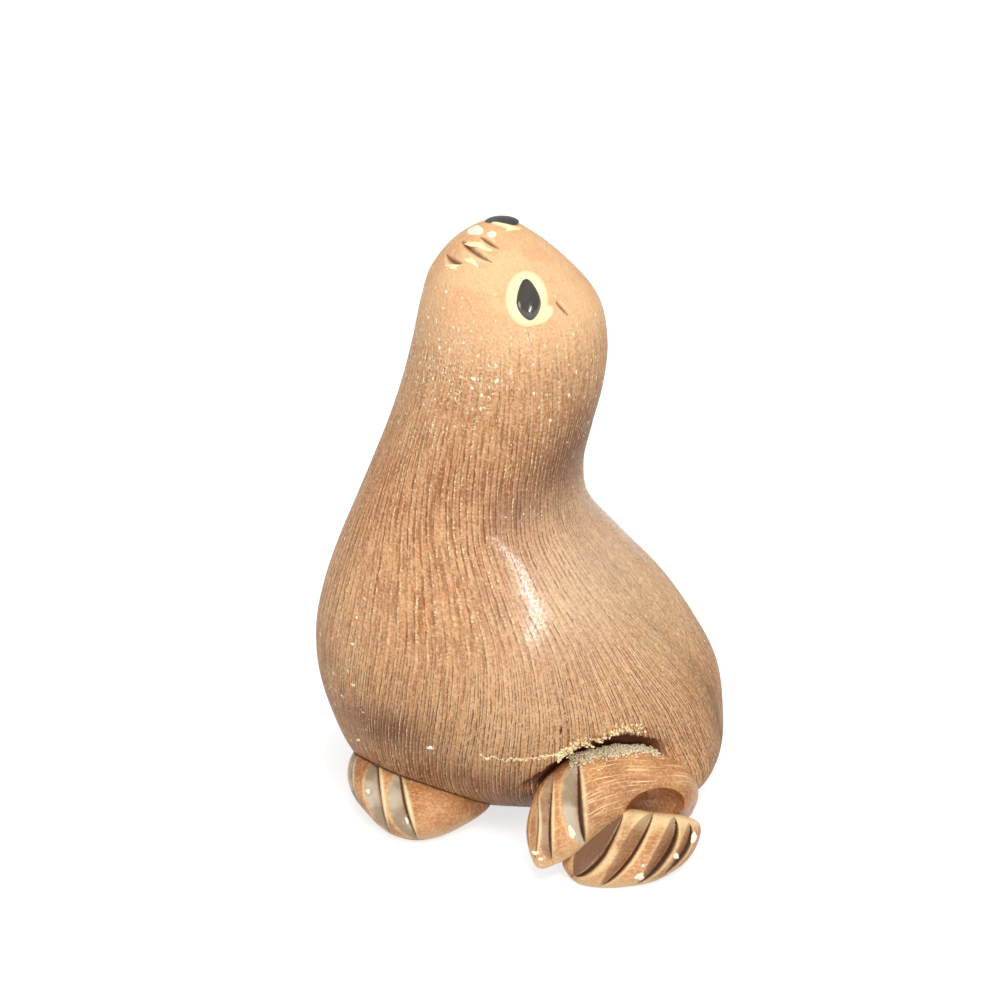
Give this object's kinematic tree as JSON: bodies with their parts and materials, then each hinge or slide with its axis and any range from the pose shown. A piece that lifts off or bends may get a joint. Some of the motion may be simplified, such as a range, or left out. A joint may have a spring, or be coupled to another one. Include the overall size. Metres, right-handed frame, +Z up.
{
  "type": "seal figurine",
  "caption": "Small carved clay seal sitting upright with its muzzle raised, combed all over, its hind flippers curled round to one side.",
  "frame": {"origin": "on the ground, inside the flat patch under the belly that the figurine rests on", "axes": "+Z up along the height; the seal faces -X; its left flank, which the hind flippers curl round to, faces -Y"},
  "size_m": [0.0615, 0.049, 0.0924],
  "materials": {
    "combed_clay": "brown slip combed through to cream clay, with a satin sheen"
  },
  "bodies": {
    "root": {"seal_figurine": "combed_clay"}
  },
  "joints": []
}
